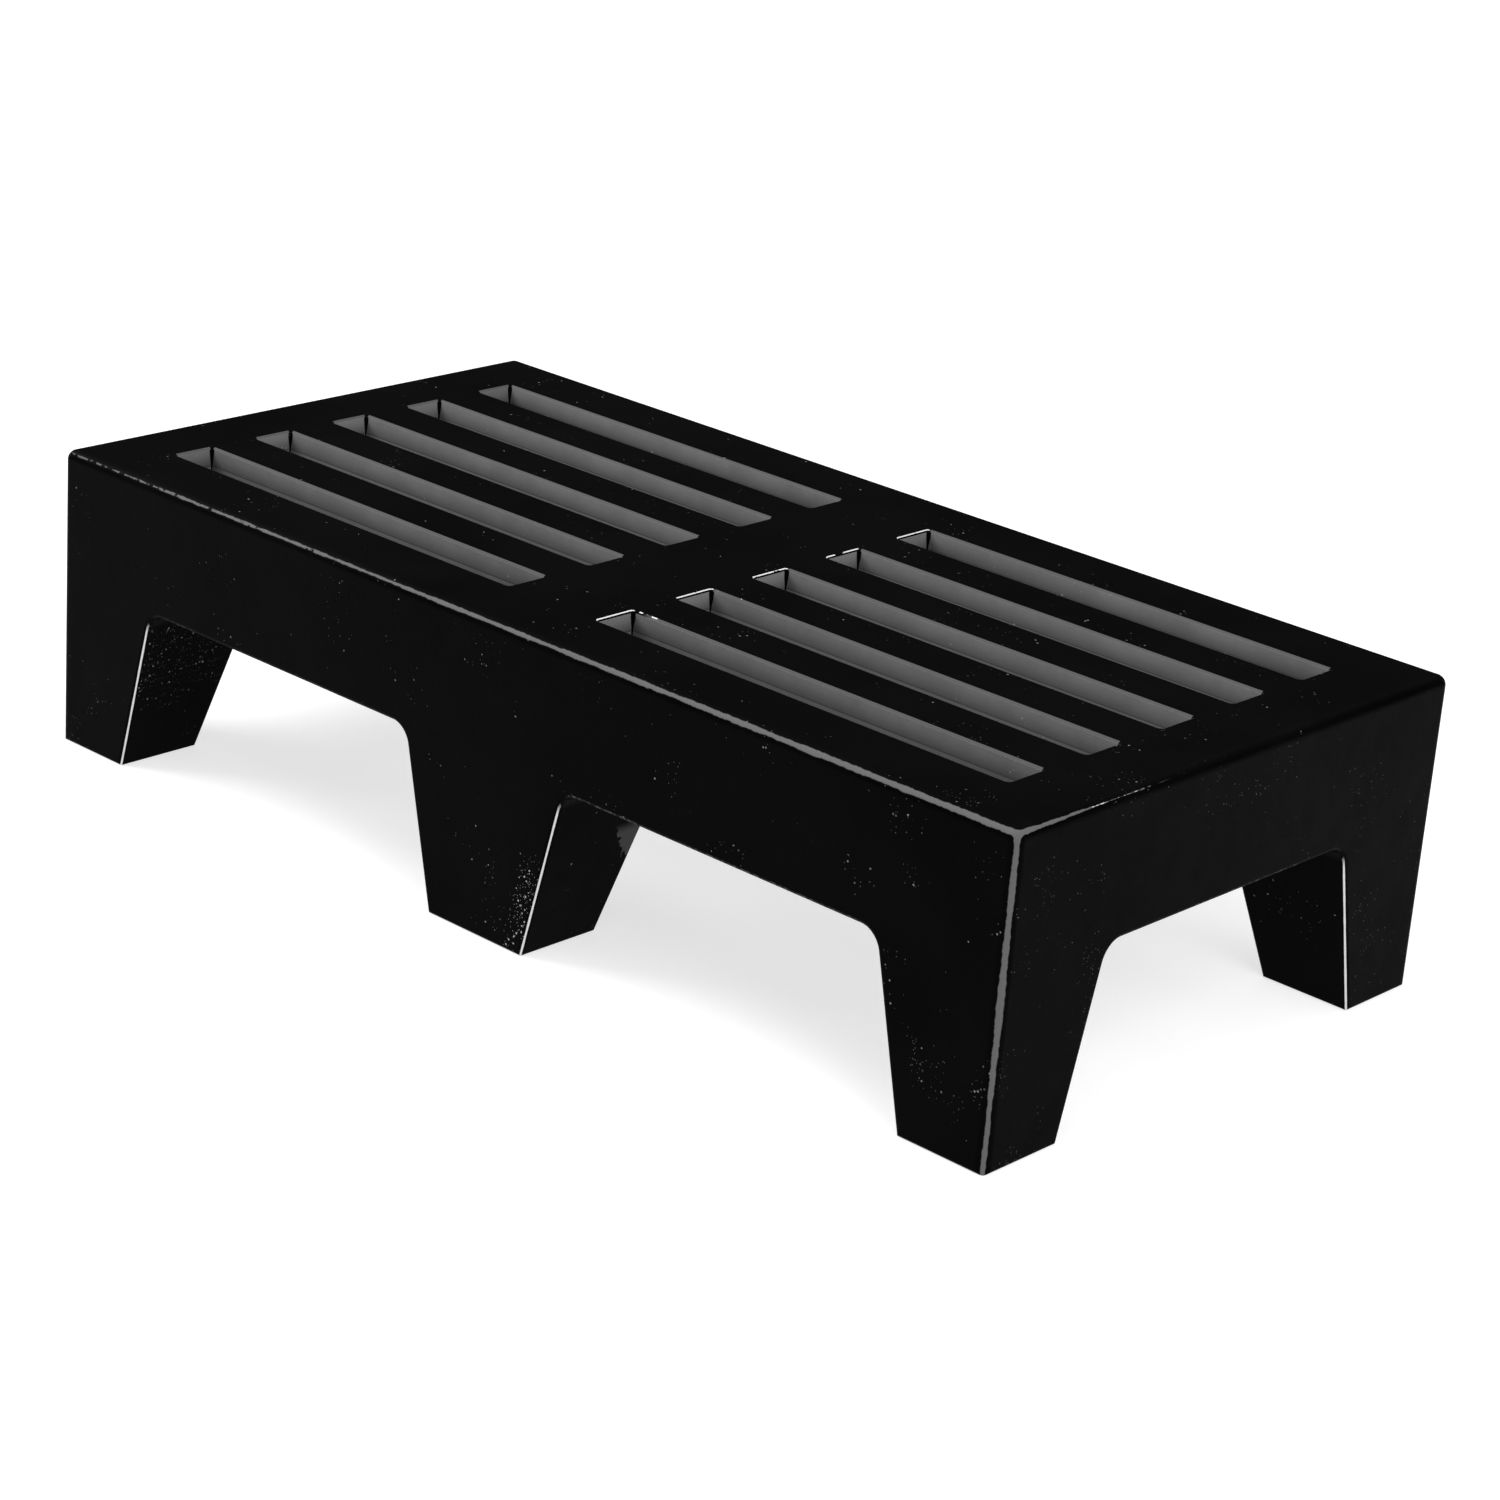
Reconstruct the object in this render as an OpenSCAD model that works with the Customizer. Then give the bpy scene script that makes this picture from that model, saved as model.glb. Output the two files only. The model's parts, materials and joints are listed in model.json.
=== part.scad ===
// Dunnage rack: a low storage platform moulded in one hollow, double-walled piece.
// The moulding is divided here into the members it is designed from: deck rails, slats,
// skirts and legs. Neighbouring members meet face to face and share one hollow inside.
// Origin: middle of the rack, on the floor. X runs along the length, Y across, Z up.

/* [Overall size] */
// Length of the rack along X
rack_l = 1219.2; // [1180:0.1:1260]
// Width of the rack along Y
rack_w = 609.6; // [600:0.1:630]
// Height from the floor to the top of the deck
rack_h = 304.8; // [290:0.1:320]

/* [Moulding] */
// Thickness of the plastic wall
wall = 5.5; // [4:0.1:6]
// Depth of the double-walled deck
deck_t = 57; // [48:0.5:65]
// Thickness of the double-walled skirts
skirt_t = 38; // [32:0.5:44]
// Rounding of the deck's outer edges and of the upright corners
edge_r = 10; // [6:0.5:12]

/* [Vent slots] */
// Width of one slot
slot_w = 45.7; // [40:0.1:50]
// Distance between the middles of neighbouring slots
slot_pitch = 101.6; // [96:0.1:102]
// Distance from the middle of the rack to the near end of each slot
slot_in = 57.2; // [50:0.1:70]
// Distance from the middle of the rack to the far end of each slot
slot_out = 533.4; // [500:0.1:540]
// Corner radius of a slot, seen from above
slot_r = 2.5; // [2:0.5:6]
// Rounding of the slot's upper rim
rim_r = 3; // [2:0.5:4]

/* [Legs and arches] */
// Size of a corner leg at the floor, and depth of a middle leg there
foot = 96; // [85:0.5:110]
// Width of a middle leg at the floor
mid_foot = 125; // [110:0.5:140]
// Slope of the legs' inner and side faces, in degrees
taper = 13.6; // [10:0.1:14]
// Height of the arches between the legs
arch_h = 171.5; // [150:0.5:180]
// Radius in the upper corners of the arches
arch_r = 22; // [15:0.5:25]
// Rounding of the arches' edges and of the legs' sloping edges
leg_r = 5; // [3:0.5:6]
// Rounding of the edges around each leg's sole
sole_r = 3; // [2:0.5:4]

/* [Vent plug] */
// Diameter of the hole in the underside that let air in and out during moulding
vent_d = 16; // [12:0.5:20]
// Diameter of the plug's head
plug_d = 26; // [24:0.5:32]
// Thickness of the plug's head
plug_t = 2.5; // [1.5:0.1:4]
// How far the plug's lip stands out beyond the hole
plug_lip = 1; // [0.5:0.1:2]

/* [Hidden] */
$fn = 96;
BLACK = [0.08, 0.08, 0.085];
GREY = [0.16, 0.16, 0.17];
ROWS = [0:4];                     // slots of one bank, counted from the front
SLATS = [1:4];                    // slats of one bank, counted from the front
SIDES = ["front", "rear"];
ENDS = ["left", "right"];

over = 1;                         // how far a cutter runs past the face it opens
ease = 0.02;                      // how far an arch's corner is drawn past its tangents
half_l = rack_l / 2;
half_w = rack_w / 2;
deck_z = rack_h - deck_t;         // underside of the deck
slot_l = slot_out - slot_in;
slot_x = (slot_in + slot_out) / 2;
row_edge = row_y(4) + slot_w / 2; // outer wall of the outermost slots
end_cut = slot_out - slot_r;      // where the slats meet an end rail
bridge_cut = slot_in + slot_r;    // where the slats meet the bridge
side_arch_x = (mid_foot / 2 + half_l - foot) / 2;       // middle of an arch in a long side
side_arch_half = (half_l - foot - mid_foot / 2) / 2;    // half its width at the floor
end_arch_half = half_w - foot;
leg_cut_x = side_arch_x + arch_flat(side_arch_half);    // where a side skirt meets a corner leg
mid_cut_x = side_arch_x - arch_flat(side_arch_half);    // where it meets the middle leg
leg_cut_y = arch_flat(end_arch_half);                   // where an end skirt meets its legs
panel_z = arch_h - arch_r + arch_r * sin(taper + 1);    // underside of the legs' share of the panels

// Middle of a row of slots
function row_y(row) = (row - 2) * slot_pitch;

// Half the length of an arch's flat top; half is half its width at the floor
function arch_flat(half) = half - arch_r / cos(taper) - (arch_h - arch_r) * tan(taper);

// Where an arch's right-hand side turns into its upper corner, which has radius r
function arch_turn(half, r = arch_r) =
    [arch_flat(half) + r * cos(taper), arch_h - arch_r + r * sin(taper)];

// ---------- helpers ----------

// A block from its lowest corner to its highest
module block(low, high) translate(low) cube(high - low);

// Extrudes a shape drawn in (y, z) along X
module along_x(x0, x1) translate([x0, 0, 0]) rotate([90, 0, 90]) linear_extrude(x1 - x0) children();

// Extrudes a shape drawn in (x, z) along Y
module along_y(y0, y1) translate([0, y1, 0]) rotate([90, 0, 0]) linear_extrude(y1 - y0) children();

// Mirrors its children to the left when on is true
module flip_x(on = true) if (on) mirror([1, 0, 0]) children(); else children();

// Mirrors its children to the front when on is true
module flip_y(on = true) if (on) mirror([0, 1, 0]) children(); else children();

module rounded_rect(l, w, r) {
    square([l - 2 * r, w], center = true);
    square([l, w - 2 * r], center = true);
    for (sx = [-1, 1], sy = [-1, 1]) translate([sx * (l / 2 - r), sy * (w / 2 - r)]) circle(r);
}

// What rounding takes off an edge at the origin, with the solid to its right and above it
module edge_cut(r) difference() {
    translate([-over, -over]) square(r + over);
    translate([r, r]) circle(r);
}

// The same for an edge with the solid below it: to its right, or to its left
module rim_profile(r) mirror([0, 1]) edge_cut(r);
module brow_profile(r) rotate(180) edge_cut(r);

// ---------- vent slots, drawn for the right-hand bank ----------

// What rounding takes off a slot's rim: straight runs along the walls, a turn at each corner
module rim_cut() {
    run_x = slot_l / 2 - slot_r;
    run_y = slot_w / 2 - slot_r;
    for (on = [false, true]) {
        flip_y(on) along_x(-run_x, run_x) translate([slot_w / 2, rack_h]) rim_profile(rim_r);
        flip_x(on) along_y(-run_y, run_y) translate([slot_l / 2, rack_h]) rim_profile(rim_r);
    }
    for (on_x = [false, true], on_y = [false, true]) flip_x(on_x) flip_y(on_y)
        translate([run_x, run_y, rack_h]) rotate_extrude(angle = 90)
            translate([slot_r, 0]) rim_profile(rim_r);
}

// One slot through the deck, with its rounded rim
module slot() {
    translate([0, 0, deck_z - over]) linear_extrude(deck_t + 2 * over) rounded_rect(slot_l, slot_w, slot_r);
    rim_cut();
}

module slots() for (row = ROWS) translate([slot_x, row_y(row), 0]) slot();

// Space between the deck's upper and lower skins, around the walls of the slots
module deck_hollow() difference() {
    block([wall - half_l, wall - half_w, deck_z + wall], [half_l - wall, half_w - wall, rack_h - wall]);
    for (row = ROWS, s = [-1, 1]) translate([s * slot_x, row_y(row), deck_z])
        linear_extrude(deck_t) rounded_rect(slot_l + 2 * wall, slot_w + 2 * wall, slot_r + wall);
}

// ---------- arches and skirts, drawn for the rear side and the right-hand end ----------

// Outline of an arch in a side view, sloping in to rounded upper corners; grow moves it
// outwards, into the plastic
module arch(half, grow = 0) {
    r = arch_r + grow;
    flat = arch_flat(half);
    turn = arch_turn(half, r);
    base = half + grow / cos(taper) + over * tan(taper);
    polygon([
        [base, -over], turn, [flat, arch_h + grow],
        [-flat, arch_h + grow], [-turn[0], turn[1]], [-base, -over]
    ]);
    for (s = [-1, 1]) translate([s * flat, arch_h - arch_r]) circle(r + ease);
}

// What rounding takes off the edge of an arch, around its upper right-hand corner and along
// its right-hand side. Drawn in (along, height, depth into the panel).
module arch_corner_cut(half)
    translate([arch_flat(half), arch_h - arch_r, 0])
        rotate_extrude() translate([arch_r + ease, 0]) edge_cut(leg_r);

module arch_side_cut(half)
    translate([half, 0, 0]) rotate(90 + taper)
        along_x(-over, deck_z / cos(taper) + over) mirror([1, 0]) edge_cut(leg_r);

// Stands such a cut on the right-hand arch of the long side, on its outer or inner face;
// to_middle mirrors it onto the arch's other side, at the middle leg
module on_side_face(inner = false, to_middle = false)
    translate([side_arch_x, inner ? half_w - skirt_t : half_w, 0])
        flip_x(to_middle) flip_y(inner) rotate([90, 0, 0]) children();

// Stands it on the arch of the end, on its outer or inner face
module on_end_face(inner = false)
    translate([inner ? half_l - skirt_t : half_l, 0, 0]) flip_x(!inner) rotate([90, 0, 90]) children();

// A leg's share of a long side's panel, between two places along X. It starts just above the
// height at which the arches' sides turn into their corners, which are rounded on both faces.
module side_panel(x0, x1) difference() {
    along_y(half_w - skirt_t, half_w) difference() {
        translate([x0, panel_z]) square([x1 - x0, deck_z - panel_z]);
        for (s = [-1, 1]) translate([s * side_arch_x, 0]) arch(side_arch_half);
    }
    for (inner = [false, true], on = [false, true]) flip_x(on)
        on_side_face(inner, to_middle = x0 < 0) arch_corner_cut(side_arch_half);
}

// A leg's share of the end's panel
module end_panel() difference() {
    along_x(half_l - skirt_t, half_l) difference() {
        translate([leg_cut_y, panel_z]) square([half_w - leg_cut_y, deck_z - panel_z]);
        arch(end_arch_half);
    }
    for (inner = [false, true]) on_end_face(inner) arch_corner_cut(end_arch_half);
}

// Space inside a long side's panel, open to the deck above it
module side_hollow() along_y(half_w - skirt_t + wall, half_w - wall) difference() {
    translate([wall - half_l, wall]) square([rack_l - 2 * wall, deck_z + over]);
    for (s = [-1, 1]) translate([s * side_arch_x, 0]) arch(side_arch_half, wall);
}

// Space inside an end's panel, open to the deck above it
module end_hollow() along_x(half_l - skirt_t + wall, half_l - wall) difference() {
    translate([wall - half_w, wall]) square([rack_w - 2 * wall, deck_z + over]);
    arch(end_arch_half, wall);
}

// ---------- legs, drawn for the rear right-hand corner ----------

// Side view of a leg that slopes on its inner side and is width wide at the floor. Its other
// side, at 0, is upright, or is the middle of the leg when half is true. inset moves the
// sides inwards, and an outline that isn't inset has a rounded sole.
module leg_outline(width, inset = 0, half = false) {
    low = inset;
    high = deck_z - inset;
    near = half ? 0 : inset;
    slope = width - inset / cos(taper);
    difference() {
        polygon([[near, low], [slope + low * tan(taper), low], [slope + high * tan(taper), high], [near, high]]);
        if (inset == 0) sole_cut(width);
        if (inset == 0 && !half) edge_cut(sole_r);
    }
}

// What rounding takes off the sole's edge under a sloping side
module sole_cut(width) {
    middle = [width - sole_r * tan(45 - taper / 2), sole_r];
    turn = middle + sole_r * [cos(taper), -sin(taper)];
    difference() {
        polygon([[middle[0], -over], [width + over, -over], turn + [over, 0], turn, middle]);
        translate(middle) circle(sole_r);
    }
}

// A leg's outline as seen from the long side and from the end
module side_leg_outline(inset = 0) translate([half_l, 0]) mirror([1, 0]) leg_outline(foot, inset);
module end_leg_outline(inset = 0) translate([half_w, 0]) mirror([1, 0]) leg_outline(foot, inset);

// The sloping body of a corner leg
module corner_core(inset = 0) intersection() {
    along_x(0, half_l) end_leg_outline(inset);
    along_y(0, half_w) side_leg_outline(inset);
}

// The sloping body of a middle leg
module middle_core(inset = 0) intersection() {
    along_x(-half_l, half_l) end_leg_outline(inset);
    along_y(0, half_w) for (s = [0, 1]) mirror([s, 0]) leg_outline(mid_foot / 2, inset, half = true);
}

// What rounding takes off the edge where two sloping faces of a leg meet. The edge stands on
// the floor at [x, y] and leans out, as it rises, in the direction given in degrees.
module sloping_edge_cut(x, y, direction) {
    lean = atan(sqrt(2) * tan(taper));
    part = acos(-pow(sin(taper), 2)) / 2;       // half the angle inside the edge
    turn = leg_r / tan(part) * [-cos(part), sin(part)];
    out = over * [sin(part), cos(part)];
    translate([x, y, 0]) rotate([0, lean, direction]) translate([0, 0, -leg_r])
        linear_extrude(deck_z / cos(lean) + 2 * leg_r) difference() {
            polygon([
                turn, turn + out, [over / sin(part), 0],
                [turn[0] + out[0], -turn[1] - out[1]], [turn[0], -turn[1]], [-leg_r / sin(part), 0]
            ]);
            translate([-leg_r / sin(part), 0]) circle(leg_r);
        }
}

// What rounding takes off the rack's upright corner and the deck's corner above it
module corner_cut() translate([half_l - edge_r, half_w - edge_r, 0]) difference() {
    translate([0, 0, -over]) cube([edge_r + over, edge_r + over, rack_h + 2 * over]);
    translate([0, 0, -2 * over]) cylinder(r = edge_r, h = rack_h - edge_r + 2 * over);
    translate([0, 0, rack_h - edge_r]) sphere(edge_r);
}

// ---------- members ----------

module rail() color(BLACK) difference() {
    block([-half_l, row_edge, deck_z], [half_l, half_w, rack_h]);
    deck_hollow();
    side_hollow();
    along_x(edge_r - half_l, half_l - edge_r) translate([half_w, rack_h]) brow_profile(edge_r);
    for (on = [false, true]) flip_x(on) {
        end_hollow();
        corner_cut();
        along_y(row_edge - over, half_w - edge_r) translate([half_l, rack_h]) brow_profile(edge_r);
        translate([slot_x, row_y(4), 0]) rim_cut();
    }
}

module end_rail() color(BLACK) difference() {
    block([end_cut, -row_edge, deck_z], [half_l, row_edge, rack_h]);
    deck_hollow();
    end_hollow();
    slots();
    along_y(-row_edge - over, row_edge + over) translate([half_l, rack_h]) brow_profile(edge_r);
}

module centre_bridge() color(BLACK) difference() {
    block([-bridge_cut, -row_edge, deck_z], [bridge_cut, row_edge, rack_h]);
    deck_hollow();
    for (on = [false, true]) flip_x(on) slots();
    translate([0, 0, deck_z - over]) cylinder(d = vent_d, h = wall + 2 * over);
}

// A slat between two slots of the right-hand bank, with its upper edges rounded
module slat(n) color(BLACK) {
    w = slot_pitch - slot_w;
    translate([0, row_y(n) - slot_pitch / 2, 0]) along_x(bridge_cut, end_cut) difference() {
        translate([-w / 2, deck_z]) square([w, deck_t]);
        translate([wall - w / 2, deck_z + wall]) square([w - 2 * wall, deck_t - 2 * wall]);
        for (s = [0, 1]) mirror([s, 0]) translate([w / 2, rack_h]) brow_profile(rim_r);
    }
}

// Section through a skirt, a double wall that is open to the deck above it. Its outer face
// is at far from the middle of the rack.
module skirt_section(far) difference() {
    translate([far - skirt_t, arch_h]) square([skirt_t, deck_z - arch_h]);
    translate([far - skirt_t + wall, arch_h + wall]) square([skirt_t - 2 * wall, deck_z - arch_h]);
    translate([far - skirt_t, arch_h]) edge_cut(leg_r);
    translate([far, arch_h]) mirror([1, 0]) edge_cut(leg_r);
}

module side_skirt() color(BLACK) along_x(mid_cut_x, leg_cut_x) skirt_section(half_w);

module end_skirt() color(BLACK) along_y(-leg_cut_y, leg_cut_y) skirt_section(half_l);

module corner_leg() color(BLACK) difference() {
    union() {
        side_panel(leg_cut_x, half_l);
        end_panel();
        difference() {
            intersection() {
                corner_core();
                block([leg_cut_x, leg_cut_y, 0], [half_l, half_w, deck_z]);
            }
            on_side_face() arch_side_cut(side_arch_half);
            on_end_face() arch_side_cut(end_arch_half);
            sloping_edge_cut(half_l - foot, half_w - foot, 225);
        }
    }
    corner_core(wall);
    side_hollow();
    end_hollow();
    corner_cut();
}

module middle_leg() color(BLACK) difference() {
    union() {
        side_panel(-mid_cut_x, mid_cut_x);
        difference() {
            intersection() {
                middle_core();
                block([-mid_cut_x, 0, 0], [mid_cut_x, half_w, deck_z]);
            }
            for (on = [false, true]) flip_x(on) {
                on_side_face(to_middle = true) arch_side_cut(side_arch_half);
                sloping_edge_cut(mid_foot / 2, half_w - foot, -45);
            }
        }
    }
    middle_core(wall);
    side_hollow();
}

// A push-in plug: a flat head under the deck, a hollow stem and a lip that snaps in behind the skin
module vent_plug() color(GREY) translate([0, 0, deck_z]) rotate_extrude() {
    stem = vent_d / 2;
    lip_z = wall + 2 * plug_lip;
    polygon([
        [0, -plug_t], [plug_d / 2, -plug_t], [plug_d / 2, 0], [stem, 0], [stem, wall],
        [stem + plug_lip, wall], [stem - plug_lip, lip_z], [stem / 2, lip_z], [stem / 2, 0], [0, 0]
    ]);
}

for (side = SIDES) {
    front = side == "front";
    flip_y(front) rail();
    flip_y(front) middle_leg();
    for (end = ENDS) {
        left = end == "left";
        flip_y(front) flip_x(left) side_skirt();
        flip_y(front) flip_x(left) corner_leg();
    }
}
for (end = ENDS) {
    left = end == "left";
    flip_x(left) end_rail();
    flip_x(left) end_skirt();
    for (n = SLATS) flip_x(left) slat(n);
}
centre_bridge();
vent_plug();
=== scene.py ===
"""Black polyethylene dunnage rack, shown on a pale floor under soft studio light.

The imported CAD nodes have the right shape, so they stay, and every one gets a procedural
material here. All lengths are in metres, in the CAD frame: X along the rack, Y towards the
back, Z up, with the origin on the floor in the middle of the rack.
"""

import json
import math
from collections import namedtuple

import bpy
from mathutils import Matrix, Vector


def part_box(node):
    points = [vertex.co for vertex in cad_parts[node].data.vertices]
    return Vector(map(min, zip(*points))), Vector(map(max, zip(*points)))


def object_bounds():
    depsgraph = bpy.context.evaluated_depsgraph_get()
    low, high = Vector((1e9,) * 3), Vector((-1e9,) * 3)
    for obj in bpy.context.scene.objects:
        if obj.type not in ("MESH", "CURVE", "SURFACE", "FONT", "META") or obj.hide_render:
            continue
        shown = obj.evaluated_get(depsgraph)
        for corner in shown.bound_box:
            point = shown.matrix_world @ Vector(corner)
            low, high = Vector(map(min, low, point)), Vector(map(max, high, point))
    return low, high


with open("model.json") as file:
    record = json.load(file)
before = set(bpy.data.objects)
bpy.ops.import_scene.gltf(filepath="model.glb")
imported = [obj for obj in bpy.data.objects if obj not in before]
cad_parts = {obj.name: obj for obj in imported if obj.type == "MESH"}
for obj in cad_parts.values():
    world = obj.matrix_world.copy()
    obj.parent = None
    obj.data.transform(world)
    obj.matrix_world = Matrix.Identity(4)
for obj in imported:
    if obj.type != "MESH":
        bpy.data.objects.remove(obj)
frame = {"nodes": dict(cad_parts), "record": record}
cad_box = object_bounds()

MM = 0.001

# ---------- sizes of the rack that its nodes' boxes don't give ----------

SLOT_R = 2.5 * MM                   # radius in the slots' upright corners
RIM_R = 3 * MM                      # rounding of the slots' rims
FOOT = 96 * MM                      # depth of a leg at the floor
MIDDLE_FOOT = 125 * MM              # width of a middle leg at the floor
TAPER = math.radians(13.6)          # slope of the legs' sides

# ---------- places on the rack, from the frame ----------

low, high = (Vector(corner) for corner in cad_box)
centre = (low + high) / 2
deck_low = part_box("right_slat_1")[0].z                  # underside of the deck
arch_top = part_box("front_right_skirt")[0].z             # top of the arches between the legs
slot_near_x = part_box("right_slat_1")[0].x - SLOT_R      # inner end wall of the slots
slot_far_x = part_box("right_slat_1")[1].x + SLOT_R       # outer end wall
slot_far_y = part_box("right_end_rail")[1].y              # outer wall of the outermost slots
slat_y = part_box("right_slat_1")[0].y                    # front of the first slat
slot_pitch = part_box("right_slat_2")[0].y - slat_y
front_right_corner = Vector((high.x, low.y, high.z))                # the front top corner at the right-hand end, where the painted edge highlight is widest


# ---------- camera ----------

AZIMUTH = math.radians(41.71)       # from straight in front, towards the right-hand end
ELEVATION = math.radians(21.12)
ROLL = math.radians(4.39)           # the camera leans, so the picture is tilted
DISTANCE = 3.6931
LENS_MM = 93.02
SENSOR_MM = 36
AIM = centre + Vector((36.1, 14.3, -34.7)) * MM


def make_camera():
    """The photograph's view of the rack."""
    back = Vector((math.sin(AZIMUTH) * math.cos(ELEVATION),
                   -math.cos(AZIMUTH) * math.cos(ELEVATION),
                   math.sin(ELEVATION)))
    turn = back.to_track_quat("Z", "Y").to_matrix() @ Matrix.Rotation(ROLL, 3, "Z")
    data = bpy.data.cameras.new("camera")
    data.sensor_width = SENSOR_MM
    data.lens = LENS_MM
    data.clip_end = 50
    camera = bpy.data.objects.new("camera", data)
    camera.matrix_world = Matrix.Translation(AIM + back * DISTANCE) @ turn.to_4x4()
    bpy.context.scene.collection.objects.link(camera)
    bpy.context.scene.camera = camera


# ---------- node helpers ----------

Spot = namedtuple("Spot", "x y z nx ny nz")     # a place on the surface, and its normal there


class Nodes:
    """Builds a material's node tree in a few words."""

    def __init__(self, name):
        self.material = bpy.data.materials.new(name)
        self.material.use_nodes = True
        self.tree = self.material.node_tree
        self.tree.nodes.clear()
        self.output = self.tree.nodes.new("ShaderNodeOutputMaterial")
        self.shader = self.tree.nodes.new("ShaderNodeBsdfPrincipled")
        self.tree.links.new(self.shader.outputs[0], self.output.inputs["Surface"])
        self.place = self.tree.nodes.new("ShaderNodeNewGeometry")

    def put(self, socket, value):
        """Links value to a socket if it is a socket itself, and else sets it."""
        if isinstance(value, bpy.types.NodeSocket):
            self.tree.links.new(value, socket)
        else:
            socket.default_value = value

    def math(self, operation, a, b=0.0, clamp=False):
        node = self.tree.nodes.new("ShaderNodeMath")
        node.operation = operation
        node.use_clamp = clamp
        for socket, value in zip(node.inputs, (a, b)):
            self.put(socket, value)
        return node.outputs[0]

    def ramp(self, value, start, end, to_low=0.0, to_high=1.0):
        """Smooth step from to_low at start to to_high at end."""
        node = self.tree.nodes.new("ShaderNodeMapRange")
        node.interpolation_type = "SMOOTHSTEP"
        for name, part in (("Value", value), ("From Min", start), ("From Max", end),
                           ("To Min", to_low), ("To Max", to_high)):
            self.put(node.inputs[name], part)
        return node.outputs[0]

    def band(self, value, start, end, soft):
        """1 between start and end, falling to 0 within soft outside them."""
        return self.all_of(self.ramp(value, start - soft, start),
                           self.ramp(value, end, end + soft, 1, 0))

    def under(self, value, limit, steepness):
        """0 where value is above limit, rising to 1 below it."""
        return self.math("MULTIPLY", self.math("SUBTRACT", limit, value), steepness, clamp=True)

    def all_of(self, *masks):
        """The product of several masks."""
        total = masks[0]
        for mask in masks[1:]:
            total = self.math("MULTIPLY", total, mask)
        return total

    def largest(self, first, *others):
        for other in others:
            first = self.math("MAXIMUM", first, other)
        return first

    def noise(self, size, seed, detail=2.0, roughness=0.5):
        """Fractal noise whose features are about size metres across. Each seed has its own."""
        node = self.tree.nodes.new("ShaderNodeTexNoise")
        node.noise_dimensions = "4D"
        self.put(node.inputs["Vector"], self.place.outputs["Position"])
        self.put(node.inputs["W"], float(seed))
        self.put(node.inputs["Scale"], 1.0 / size)
        self.put(node.inputs["Detail"], detail)
        self.put(node.inputs["Roughness"], roughness)
        return node.outputs[0]

    def drift(self, size, seed, lowest=0.0, highest=1.0, detail=2.0, roughness=0.5):
        """A value that wanders between lowest and highest with the noise of that seed."""
        return self.ramp(self.noise(size, seed, detail, roughness), 0.3, 0.7, lowest, highest)

    def specks(self, size, share):
        """1 on small round specks, one in each cell of size metres with the chance share."""
        cells = self.tree.nodes.new("ShaderNodeTexVoronoi")
        self.put(cells.inputs["Vector"], self.place.outputs["Position"])
        self.put(cells.inputs["Scale"], 1.0 / size)
        chosen = self.tree.nodes.new("ShaderNodeSeparateColor")
        self.put(chosen.inputs[0], cells.outputs["Color"])
        return self.math("MULTIPLY",
                         self.math("LESS_THAN", cells.outputs["Distance"], 0.32),
                         self.math("LESS_THAN", chosen.outputs[0], share))

    def xyz(self, socket):
        node = self.tree.nodes.new("ShaderNodeSeparateXYZ")
        self.put(node.inputs[0], socket)
        return node.outputs

    def spot(self):
        """The place being shaded and its normal."""
        return Spot(*self.xyz(self.place.outputs["Position"]),
                    *self.xyz(self.place.outputs["Normal"]))

    def mix(self, factor, a, b):
        """Colour a where factor is 0, and b where it is 1."""
        node = self.tree.nodes.new("ShaderNodeMix")
        node.data_type = "RGBA"
        colour_a, colour_b = node.inputs[6], node.inputs[7]
        for socket, value in ((node.inputs["Factor"], factor), (colour_a, a), (colour_b, b)):
            self.put(socket, value)
        return node.outputs[2]

    def bump(self, height, distance, normal=None):
        node = self.tree.nodes.new("ShaderNodeBump")
        self.put(node.inputs["Distance"], distance)
        self.put(node.inputs["Height"], height)
        if normal is not None:
            self.put(node.inputs["Normal"], normal)
        return node.outputs[0]


def grey(value):
    return (value, value, value * 1.02, 1.0)


# ---------- where the rack's skin looks different ----------

def slot_area(n, at):
    """1 over the two banks of slots, as seen from above, and on the rims around them."""
    far_x = slot_far_x + RIM_R
    far_y = slot_far_y + RIM_R
    return n.all_of(n.ramp(n.math("ABSOLUTE", at.x), far_x, far_x + 1 * MM, 1, 0),
                    n.ramp(n.math("ABSOLUTE", at.y), far_y, far_y + 1 * MM, 1, 0))


def slot_wall_mask(n, at):
    """The upright walls inside the slots with their rims, where pale grey is painted on as light, apart
    from their upright corners, which stay black in a wedge that narrows downwards."""
    across = n.largest(n.math("ABSOLUTE", at.nx), n.math("ABSOLUTE", at.ny))
    upright = n.math("SQRT", n.math("ADD", n.math("MULTIPLY", at.nx, at.nx),
                                    n.math("MULTIPLY", at.ny, at.ny)))
    squareness = n.math("DIVIDE", across, n.largest(upright, 0.01))
    wedge = n.ramp(at.z, high.z - 28 * MM, high.z - 6 * MM, 0.88, 0.975)

    # how far a long wall's spot is from the end wall, and an end wall's spot from the long wall
    from_end = n.math("ADD", at.x, n.ramp(at.x, -1 * MM, 1 * MM, slot_far_x, -slot_near_x))
    from_wall = n.math("FLOORED_MODULO", n.math("SUBTRACT", slat_y, at.y), slot_pitch)
    beside = n.math("MINIMUM",
                    n.largest(from_end, n.ramp(at.ny, -0.95, -0.9)),
                    n.largest(from_wall, n.ramp(at.nx, 0.9, 0.95, 1, 0)))
    reach = n.ramp(at.z, high.z - 22 * MM, high.z - 2 * MM, 1 * MM, 3 * MM)
    clear = n.math("MULTIPLY", n.math("SUBTRACT", beside, reach), 1 / (0.6 * MM), clamp=True)
    return n.all_of(slot_area(n, at), n.ramp(at.z, deck_low - 1 * MM, deck_low),
                    n.ramp(at.nz, 0.93, 0.98, 1, 0), clear,
                    n.ramp(squareness, wedge, n.math("ADD", wedge, 0.02)))


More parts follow.
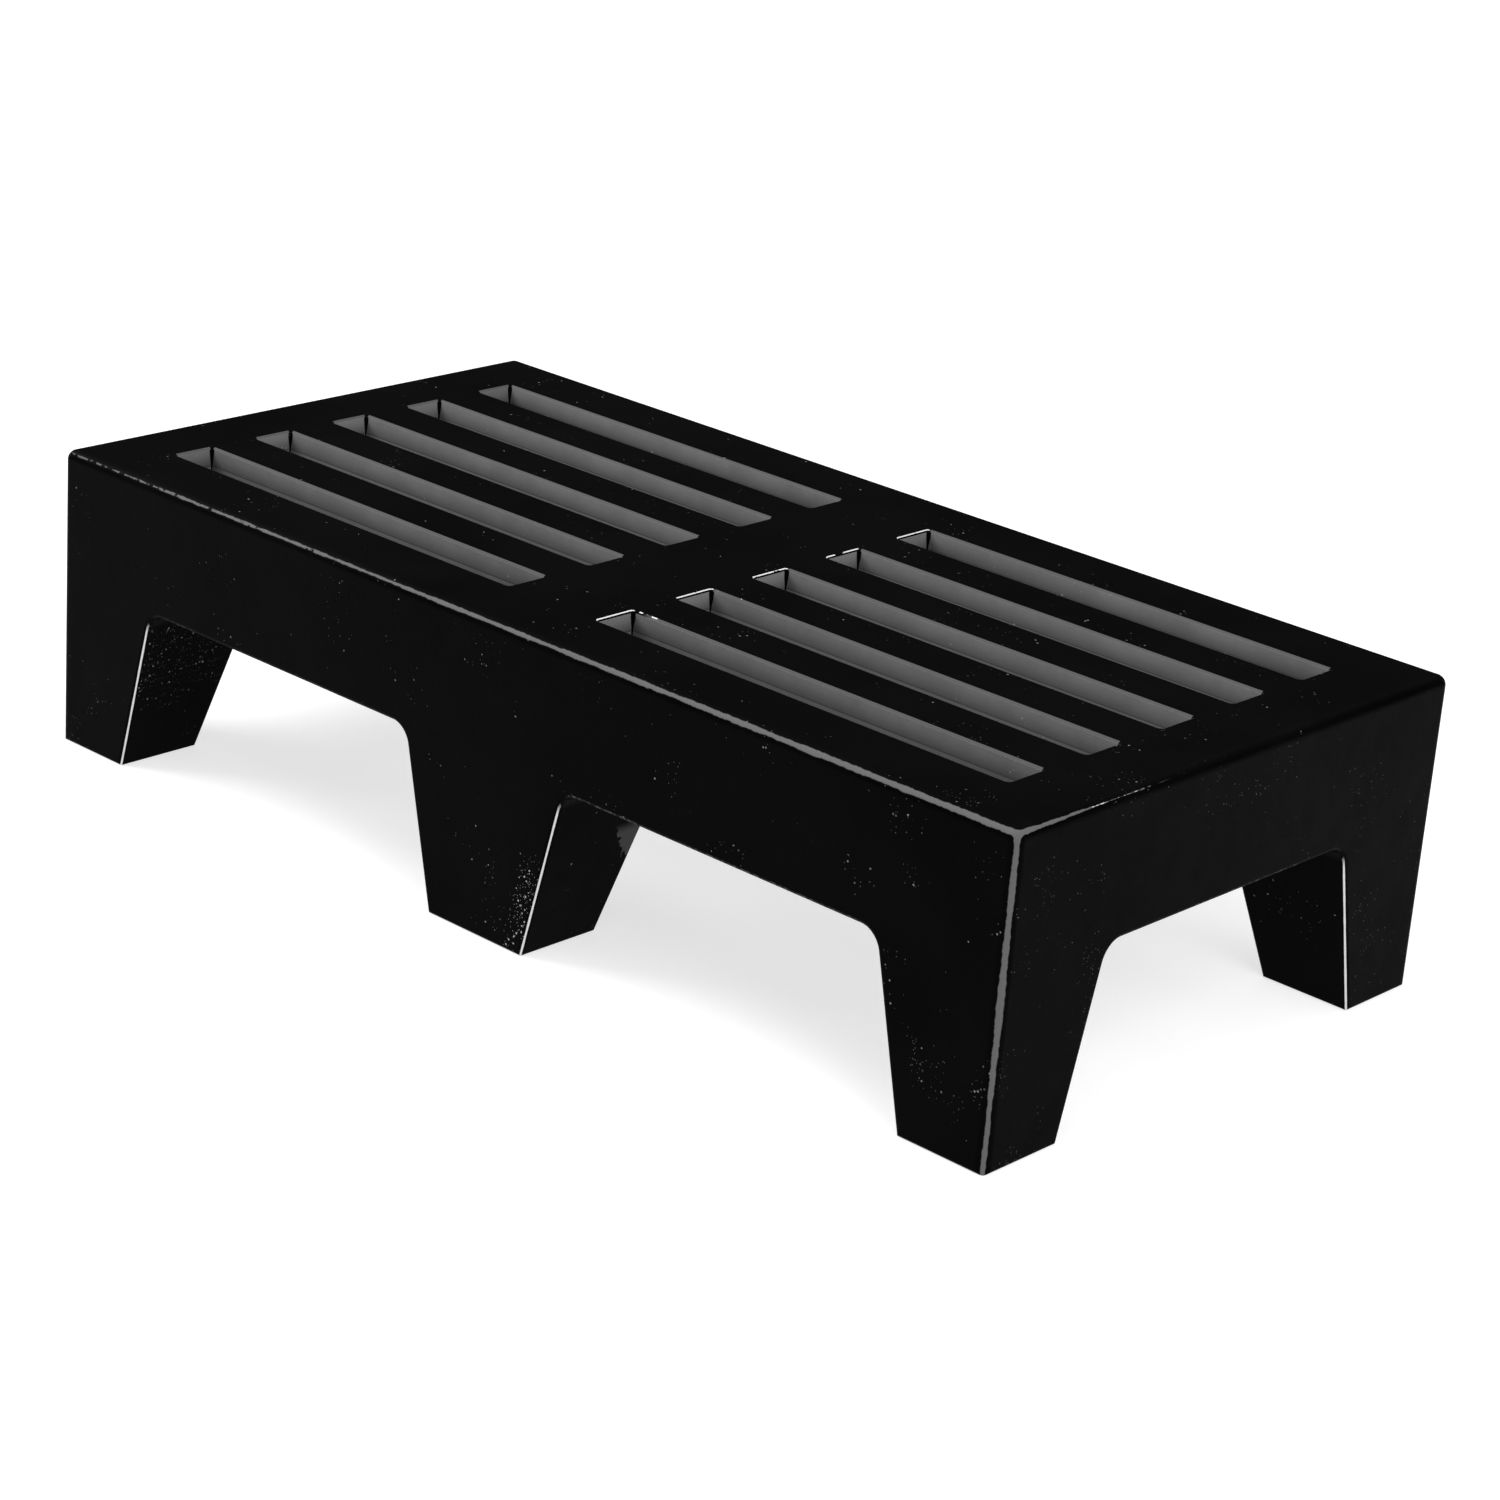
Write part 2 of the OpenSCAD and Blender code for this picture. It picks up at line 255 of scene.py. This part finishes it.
def slot_shade_mask(n, at):
    """Painted shade: the slots' walls are painted darker downwards, as far as a dark line, and are paler
    below it.
    """
    line_low = high.z - 19.6 * MM
    shade = n.ramp(at.z, high.z - 23 * MM, high.z - 1 * MM, 0.85, -0.05)
    line = n.band(at.z, line_low, line_low + 1 * MM, 0.7 * MM)
    below = n.ramp(at.z, line_low - 0.8 * MM, line_low - 0.2 * MM, 0.35, 0.0)
    shade = n.math("SUBTRACT", shade, below, clamp=True)
    return n.largest(shade, n.math("MULTIPLY", line, 0.95))


def edge_highlight_mask(n, at, flattest):
    """A painted highlight: a pale line painted along the deck's top edges and down one upright corner. It
    is widest at the front right top corner, and breaks up along the length and soon ends across the
    width."""
    along = n.math("SUBTRACT", front_right_corner.x, at.x)
    across = n.math("SUBTRACT", at.y, front_right_corner.y)
    away = n.math("ADD", along, n.math("MULTIPLY", across, 6.0))
    width = n.ramp(away, 0.0, 1.3, 0.885, 0.785)
    for ragged in (n.drift(35 * MM, 3, -0.03, 0.03, 3, 0.6), n.drift(5 * MM, 21, -0.018, 0.018)):
        width = n.math("ADD", width, ragged)
    for narrower in (n.ramp(across, 8 * MM, 30 * MM, 0.0, 0.07), n.ramp(at.z, 0.0, 160 * MM, 0.06, 0.0)):
        width = n.math("SUBTRACT", width, narrower)
    outer = n.largest(n.ramp(at.x, high.x - 14 * MM, high.x - 12 * MM),
                      n.ramp(at.y, low.y + 12 * MM, low.y + 14 * MM, 1, 0))
    gaps = n.ramp(n.noise(9 * MM, 6), n.ramp(away, 0.2, 1.2, 0.0, 0.44),
                  n.ramp(away, 0.2, 1.2, 0.1, 0.52))
    return n.all_of(n.under(flattest, width, 25), outer, n.ramp(at.nz, -0.1, -0.02),
                    n.ramp(away, 1.15, 1.35, 1, 0), gaps)


def end_glint_mask(n, at):
    """Bright painted glints in dashes where the painted highlight along the end's top edge runs out."""
    across = n.math("SUBTRACT", at.y, front_right_corner.y)
    return n.all_of(n.ramp(at.nx, 0.2, 0.4), n.band(across, 100 * MM, 158 * MM, 6 * MM),
                    n.ramp(n.noise(6 * MM, 19), 0.44, 0.50))


def leg_highlight_mask(n, at, flattest):
    """A bright painted highlight along the sloping edges of the legs."""
    width = n.math("ADD", 0.825, n.drift(20 * MM, 4, -0.012, 0.012))
    return n.all_of(n.under(flattest, width, 30), n.band(at.nz, -0.34, -0.10, 0.06),
                    n.ramp(at.z, arch_top - 22 * MM, arch_top - 8 * MM, 1, 0))


def skirt_highlight_mask(n, at):
    """A faint dotted painted highlight along the skirts' lower edges."""
    dots = n.ramp(n.noise(5 * MM, 23), 0.46, 0.56)
    some = n.ramp(n.noise(120 * MM, 25), 0.42, 0.60)
    return n.all_of(n.band(at.nz, -0.72, -0.35, 0.12),
                    n.band(at.z, arch_top - 1 * MM, arch_top + 6 * MM, 1 * MM),
                    n.largest(n.math("MULTIPLY", dots, some), 0.08))


def leg_patch_mask(n, at):
    """A ragged grey patch on a middle leg's side, at its edge under the rack."""
    patch_low, patch_top = 68 * MM, 104 * MM
    middle = 0.2                                # half the stretch that holds the middle legs
    edge_y = n.math("ADD", low.y + FOOT, n.math("MULTIPLY", at.z, math.tan(TAPER)))
    from_edge = n.math("SUBTRACT", edge_y, at.y)
    reach = n.math("MULTIPLY", n.math("SUBTRACT", at.z, patch_low), 0.8)
    ragged = n.drift(7 * MM, 27, -4 * MM, 4 * MM)
    inside = n.math("SUBTRACT", n.math("ADD", reach, ragged), from_edge)
    return n.all_of(n.ramp(inside, 0.0, 0.8 * MM), n.ramp(at.nx, 0.85, 0.93),
                    n.ramp(at.z, patch_low - 8 * MM, patch_low + 2 * MM),
                    n.ramp(at.z, patch_top, patch_top + 14 * MM, 1, 0),
                    n.band(at.x, -middle, middle, 10 * MM),
                    n.ramp(from_edge, 2 * MM, 4 * MM))


def rim_highlight_masks(n, at):
    """A bright painted highlight along the rims at the inner ends of the right-hand slots,
    which breaks up along the slots' far rims, and the dark line under it, where the walls' painted light
    is left off."""
    inner_end = n.all_of(n.ramp(at.nx, 0.2, 0.35),
                         n.band(at.x, slot_near_x - RIM_R, slot_near_x + 1 * MM, 1 * MM))
    far_rim = n.all_of(n.ramp(at.ny, -0.35, -0.2, 1, 0),
                       n.ramp(at.x, slot_near_x - 1 * MM, slot_near_x))
    run = n.math("ADD", at.x, n.math("MULTIPLY", n.math("SUBTRACT", at.y, low.y), 0.25))
    fading = n.ramp(run, slot_near_x + 10 * MM, slot_near_x + 120 * MM, 0.45, 0.74)
    dashes = n.ramp(n.noise(6 * MM, 8), fading, n.math("ADD", fading, 0.04))
    ends = n.all_of(inner_end, n.ramp(n.noise(10 * MM, 15), 0.36, 0.42))
    marked = n.largest(ends, n.all_of(far_rim, dashes))
    edge = n.largest(inner_end, n.all_of(far_rim, n.ramp(fading, 0.5, 0.56, 1, 0)))
    return (n.all_of(slot_area(n, at), marked, n.band(at.nz, 0.76, 0.95, 0.04)),
            n.all_of(slot_area(n, at), edge, n.band(at.nz, 0.30, 0.99, 0.1)))


def speck_mask(n, at):
    """Small pale specks: thick beside a middle leg's edge, thinner on the legs,
    on one corner leg's side and around the front right top corner, and thin in a few patches elsewhere."""
    edge_x = n.math("ADD", MIDDLE_FOOT / 2, n.math("MULTIPLY", at.z, math.tan(TAPER)))
    beside = n.math("SUBTRACT", edge_x, at.x)
    cluster = n.all_of(n.band(beside, 7 * MM, 20 * MM, 14 * MM),
                       n.band(at.z, 15 * MM, 80 * MM, 30 * MM),
                       n.ramp(at.ny, -0.9, -0.8, 1, 0))

    legs = n.ramp(at.z, 40 * MM, arch_top - 20 * MM, 0.04, 0.0)
    side = n.all_of(n.ramp(at.nx, 0.85, 0.93), n.ramp(at.x, -0.40, -0.38, 0.12, 0.0),
                    n.ramp(at.z, 50 * MM, 90 * MM))
    corner = n.math("MULTIPLY", n.ramp(at.x, front_right_corner.x - 0.55, front_right_corner.x - 0.1),
                    n.ramp(at.y, front_right_corner.y + 0.05, front_right_corner.y + 0.3, 0.03, 0.0))
    patches = n.ramp(n.noise(45 * MM, 7), 0.50, 0.68)
    share = n.math("MULTIPLY", patches, n.math("ADD", 0.02, n.math("ADD", legs, corner)))
    share = n.largest(share, side, n.math("MULTIPLY", cluster, 0.17))

    strength = n.largest(n.ramp(n.noise(12 * MM, 17), 0.35, 0.65, 0.05, 0.5), cluster)
    large = n.specks(3.1 * MM, share)
    small = n.specks(1.6 * MM, n.math("MULTIPLY", share, 1.5))
    return n.math("MULTIPLY", strength, n.largest(large, n.math("MULTIPLY", small, 0.5)))


# ---------- materials ----------

def slot_wall_colour(n, at):
    """Pale grey painted on the slot walls as light, paler on the end walls as more painted light, and
    darker on the rims and deep down as painted shade.
    """
    # painted light on the walls, with painted shade deep down and on the rims
    wall = n.mix(n.drift(40 * MM, 2, detail=4, roughness=0.6), grey(0.16), grey(0.19))
    wall = n.mix(n.ramp(at.nx, 0.5, 0.9), wall, grey(0.21))
    wall = n.mix(slot_shade_mask(n, at), wall, grey(0.055))
    return n.mix(n.ramp(at.nz, 0.05, 0.75), wall, grey(0.085))


def black_polyethylene():
    """Satin black moulded plastic with a grainy skin and matt slot walls, painted light and shade in the
    slots, and painted highlights along edges and rims.
    """
    n = Nodes("black_polyethylene")
    at = n.spot()
    turned = n.ramp(at.y, -0.5 * MM, 0.5 * MM, 1, -1)       # the rear half gets the same specks, patch and painted edge highlights as the front, turned
    marked = Spot(n.math("MULTIPLY", turned, at.x), n.math("MULTIPLY", turned, at.y), at.z,
                n.math("MULTIPLY", turned, at.nx), n.math("MULTIPLY", turned, at.ny), at.nz)
    # 1 on a face that is square to an axis, and less on an edge's rounding
    flattest = n.largest(*(n.math("ABSOLUTE", part) for part in (at.nx, at.ny, at.nz)))
    slot_wall = slot_wall_mask(n, at)
    # painted highlight on the slots' inner rims, and the dark line under it
    painted_rim_highlight, rim_line = rim_highlight_masks(n, at)

    skin = n.mix(n.drift(150 * MM, 1, detail=3, roughness=0.55), grey(0.0008), grey(0.0016))
    # painted light on the slot walls, left off along the dark line under the rims' painted highlight
    skin = n.mix(n.math("SUBTRACT", slot_wall, rim_line, clamp=True), skin, slot_wall_colour(n, at))
    # painted highlight: a grey line along the edges, with bright painted glints where it runs out
    corner_line = n.mix(end_glint_mask(n, marked), grey(0.11), grey(0.75))
    # pale specks and a grey patch, then painted highlights along the edges, skirts, legs and rims
    for mask, colour in ((speck_mask(n, marked), grey(0.35)),
                         (edge_highlight_mask(n, marked, flattest), corner_line),
                         (skirt_highlight_mask(n, at), grey(0.06)),
                         (leg_patch_mask(n, marked), grey(0.06)),
                         (leg_highlight_mask(n, at, flattest), grey(0.65)),
                         (painted_rim_highlight, grey(0.7))):
        skin = n.mix(mask, skin, colour)
    n.put(n.shader.inputs["Base Color"], skin)

    satin = n.drift(25 * MM, 5, 0.36, 0.46, detail=4, roughness=0.6)
    n.put(n.shader.inputs["Roughness"], n.largest(satin, n.math("MULTIPLY", slot_wall, 0.75)))
    n.put(n.shader.inputs["IOR"], 1.45)
    n.put(n.shader.inputs["Specular IOR Level"], 0.014)

    peel = n.bump(n.noise(3.2 * MM, 11), 0.12 * MM)
    grain = n.bump(n.noise(0.9 * MM, 13, roughness=0.6), 0.05 * MM, peel)
    n.put(n.shader.inputs["Normal"], grain)
    return n.material


def grey_polyethylene():
    """The vent plug's smoother, slightly paler plastic, a little cloudy and uneven in gloss."""
    n = Nodes("grey_polyethylene")
    cloud = n.drift(6 * MM, 1, detail=4, roughness=0.6)
    n.put(n.shader.inputs["Base Color"], n.mix(cloud, grey(0.035), grey(0.055)))
    n.put(n.shader.inputs["Roughness"], n.drift(2 * MM, 4, 0.35, 0.5, detail=3, roughness=0.6))
    n.put(n.shader.inputs["Normal"], n.bump(n.noise(1.5 * MM, 9), 0.04 * MM))
    return n.material


def pale_floor():
    """White studio floor that glows a little, so that shadows on it stay faint. It can be seen
    through from underneath, so that it doesn't hide the rack's underside."""
    n = Nodes("pale_floor")
    n.put(n.shader.inputs["Base Color"], (0.45, 0.45, 0.45, 1))
    n.put(n.shader.inputs["Emission Color"], (1, 1, 1, 1))
    n.put(n.shader.inputs["Emission Strength"], 0.66)
    n.put(n.shader.inputs["Roughness"], n.drift(0.4, 1, 0.55, 0.65, detail=3))
    n.put(n.shader.inputs["Specular IOR Level"], 0.2)
    clear = n.tree.nodes.new("ShaderNodeBsdfTransparent")
    either = n.tree.nodes.new("ShaderNodeMixShader")
    sides = (n.place.outputs["Backfacing"], n.shader.outputs[0], clear.outputs[0])
    for socket, value in zip(either.inputs, sides):
        n.put(socket, value)
    n.put(n.output.inputs["Surface"], either.outputs[0])
    return n.material


def dress_nodes():
    """Gives each CAD node the material of its record slot."""
    looks = {"shell": black_polyethylene(), "plug": grey_polyethylene()}
    for part in frame["record"]["subparts"]:
        for held in frame["nodes"][part["node"]].material_slots:
            held.material = looks[part["material_slot"]]


# ---------- stage ----------

FLOOR_HALF = 12.0                   # half the floor's width
FLOOR_Z = -0.3 * MM                 # just clear of the soles


def make_floor():
    corners = [(x * FLOOR_HALF, y * FLOOR_HALF, FLOOR_Z) for x, y in ((-1, -1), (1, -1), (1, 1), (-1, 1))]
    data = bpy.data.meshes.new("floor")
    data.from_pydata(corners, [], [(0, 1, 2, 3)])
    data.materials.append(pale_floor())
    floor = bpy.data.objects.new("floor", data)
    bpy.context.scene.collection.objects.link(floor)


def soft_light(name, direction, distance, size, power):
    """A square area light that faces the rack from a direction."""
    data = bpy.data.lights.new(name, "AREA")
    data.size = size
    data.energy = power
    light = bpy.data.objects.new(name, data)
    towards = Vector(direction).normalized()
    light.matrix_world = (Matrix.Translation(centre + towards * distance)
                          @ towards.to_track_quat("Z", "Y").to_matrix().to_4x4())
    bpy.context.scene.collection.objects.link(light)


def make_room():
    """Soft light from overhead that fades towards the horizon, and a plain white surround."""
    world = bpy.data.worlds.new("room")
    world.use_nodes = True
    tree = world.node_tree
    place = tree.nodes.new("ShaderNodeTexCoord")
    split = tree.nodes.new("ShaderNodeSeparateXYZ")
    fade = tree.nodes.new("ShaderNodeMapRange")
    rays = tree.nodes.new("ShaderNodeLightPath")
    shown = tree.nodes.new("ShaderNodeMath")
    shown.operation = "MAXIMUM"
    fade.interpolation_type = "SMOOTHSTEP"
    for name, value in (("From Min", 0.25), ("From Max", 0.95), ("To Min", 0.02), ("To Max", 1.3)):
        fade.inputs[name].default_value = value
    background = tree.nodes["Background"]
    tree.links.new(place.outputs["Generated"], split.inputs[0])
    tree.links.new(split.outputs["Z"], fade.inputs["Value"])
    tree.links.new(fade.outputs[0], shown.inputs[0])
    tree.links.new(rays.outputs["Is Camera Ray"], shown.inputs[1])
    tree.links.new(shown.outputs[0], background.inputs["Strength"])
    background.inputs["Color"].default_value = (1, 1, 1, 1)
    bpy.context.scene.world = world
    bpy.context.scene.view_settings.view_transform = "Standard"


def make_light():
    """A large key light from the upper left and a weaker fill from the upper right."""
    soft_light("key", direction=(-0.62, -0.36, 0.70), distance=3.2, size=1.6, power=80)
    soft_light("fill", direction=(0.75, -0.25, 0.62), distance=3.6, size=1.8, power=60)
    make_room()


make_camera()
make_floor()
make_light()
dress_nodes()
